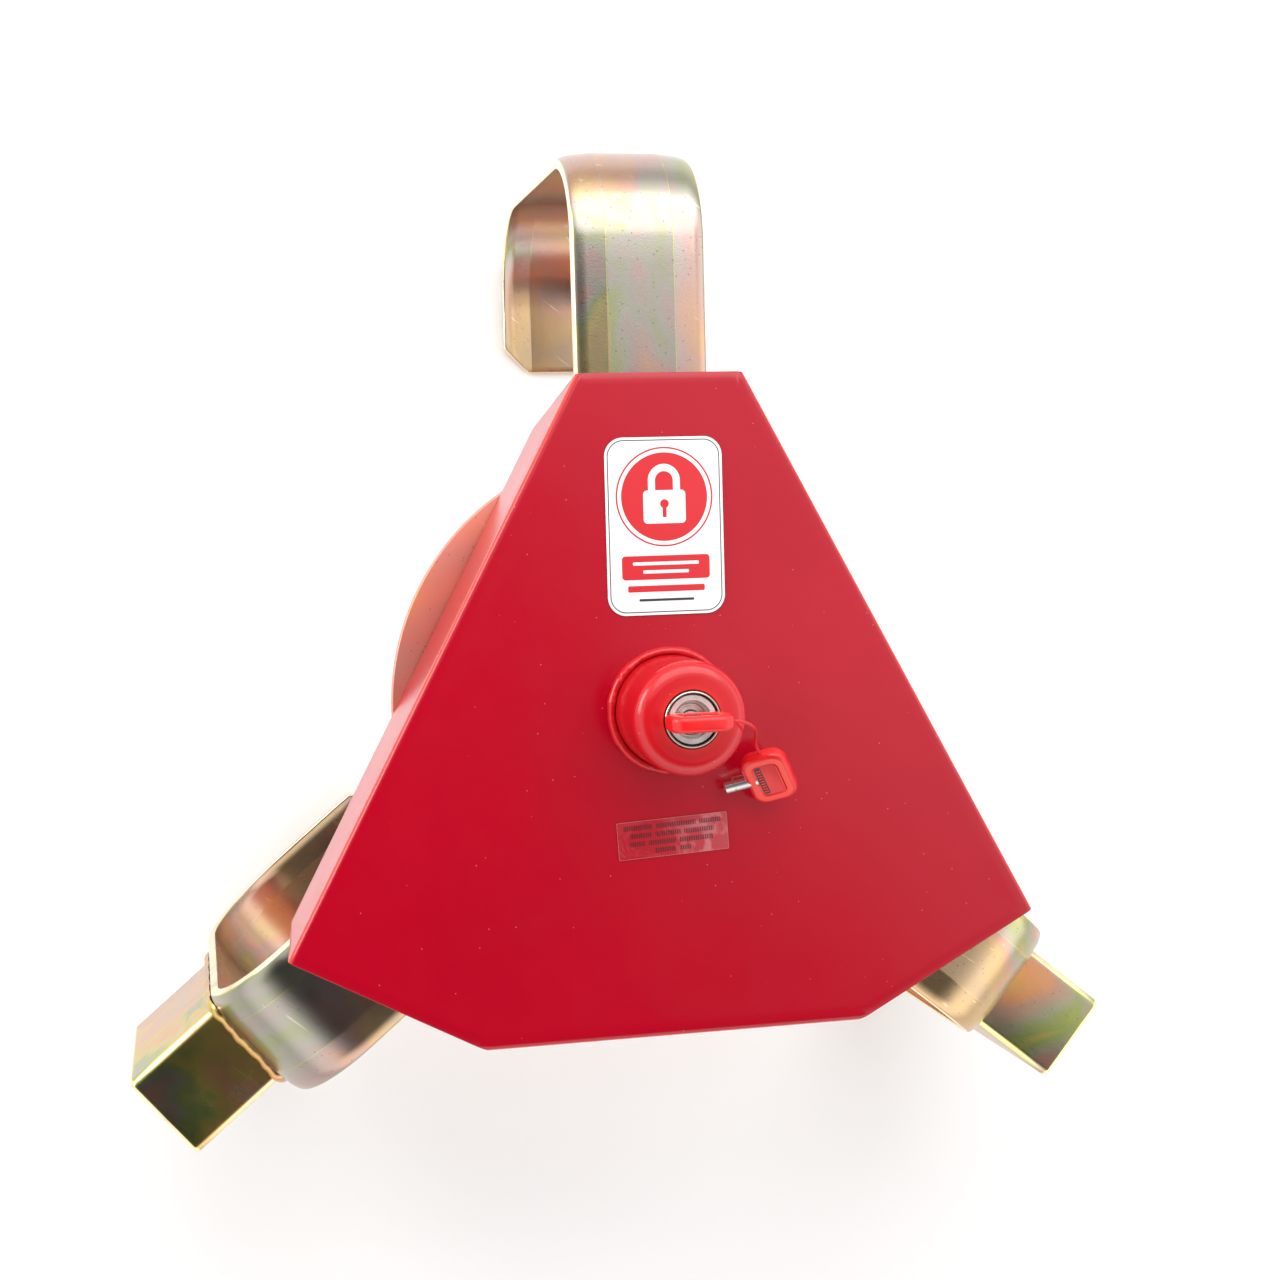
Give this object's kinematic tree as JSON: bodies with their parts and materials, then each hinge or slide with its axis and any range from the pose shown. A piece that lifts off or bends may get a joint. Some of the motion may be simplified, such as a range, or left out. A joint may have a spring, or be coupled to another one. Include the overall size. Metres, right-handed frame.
{
  "type": "wheel clamp",
  "caption": "Wheel clamp with two fixed lower hook arms, a lift-off red triangular cover with the upper hook arm, a central key lock and two keys.",
  "frame": {"origin": "centre of the guard disc's wheel side", "axes": "+Z along the lock's axis out of the cover, +Y towards the upper arm, +X to the right seen from the front"},
  "size_m": [0.585, 0.5595, 0.386],
  "materials": {
    "red_paint": "gloss powder coat",
    "yellow_zinc": "yellow passivated zinc, iridescent",
    "steel": "plain turned steel",
    "chrome": "polished",
    "seal_rubber": "matt",
    "key_plastic": "gloss moulded",
    "cord_red": "soft plastic",
    "white_sticker": "satin vinyl",
    "label_film": "clear film"
  },
  "bodies": {
    "lower_half": {"guard_disc": "yellow_zinc", "stud_collar": "yellow_zinc", "lock_stud": "steel", "lower_arm_left": "yellow_zinc", "arm_packer_left": "yellow_zinc", "arm_screw_left_inner": "steel", "arm_nut_left_inner": "steel", "arm_screw_left_outer": "steel", "arm_nut_left_outer": "steel", "stub_tube_left": "yellow_zinc", "stub_cap_left": "yellow_zinc", "stub_weld_left": "yellow_zinc", "guide_rail_left": "yellow_zinc", "lower_arm_right": "yellow_zinc", "arm_packer_right": "yellow_zinc", "arm_screw_right_inner": "steel", "arm_nut_right_inner": "steel", "arm_screw_right_outer": "steel", "arm_nut_right_outer": "steel", "stub_tube_right": "yellow_zinc", "stub_cap_right": "yellow_zinc", "stub_weld_right": "yellow_zinc", "guide_rail_right": "yellow_zinc"},
    "upper_half": {"cover": "red_paint", "lock_housing": "red_paint", "housing_weld": "red_paint", "upper_arm": "yellow_zinc", "arm_bracket": "yellow_zinc", "bracket_screw_inner": "steel", "bracket_nut_inner": "steel", "bracket_screw_outer": "steel", "bracket_nut_outer": "steel", "lock_barrel": "steel", "bezel_ring": "chrome", "dust_seal": "seal_rubber", "latch_carrier": "steel", "circlip": "steel", "emblem_sticker": "white_sticker", "notice_label": "label_film"},
    "lock_core": {"lock_plug": "steel", "scroll_plate": "steel"},
    "latch_front": {"latch_bolt_front": "steel"},
    "latch_back": {"latch_bolt_back": "steel"},
    "key": {"key_tube": "chrome", "key_head": "key_plastic"},
    "spare_key": {"key_cord": "cord_red", "spare_key_tube": "chrome", "spare_key_head": "key_plastic"}
  },
  "joints": [
    {"name": "upper_lift", "type": "slide", "parent": "lower_half", "child": "upper_half", "axis": [0, 0, 1], "range_m": [0, 0.12]},
    {"name": "key_turn", "type": "hinge", "parent": "upper_half", "child": "lock_core", "pos_m": [0, 0, 0.1], "axis": [0, 0, -1], "range_deg": [0, 90]},
    {"name": "latch_front_slide", "type": "slide", "parent": "upper_half", "child": "latch_front", "axis": [0, -1, 0], "range_m": [0, 0.00322]},
    {"name": "latch_back_slide", "type": "slide", "parent": "upper_half", "child": "latch_back", "axis": [0, 1, 0], "range_m": [0, 0.00322]},
    {"name": "key_pull", "type": "slide", "parent": "lock_core", "child": "key", "axis": [0, 0, 1], "range_m": [0, 0.03]},
    {"name": "spare_key_swing", "type": "hinge", "parent": "key", "child": "spare_key", "pos_m": [0.0169, 0, 0.139], "axis": [0, 0, 1], "range_deg": [-20, 35]}
  ],
  "couplings": [
    {"joint": "latch_front_slide", "follows": "key_turn", "m_per_rad": 0.0020372},
    {"joint": "latch_back_slide", "follows": "key_turn", "m_per_rad": 0.0020372}
  ]
}
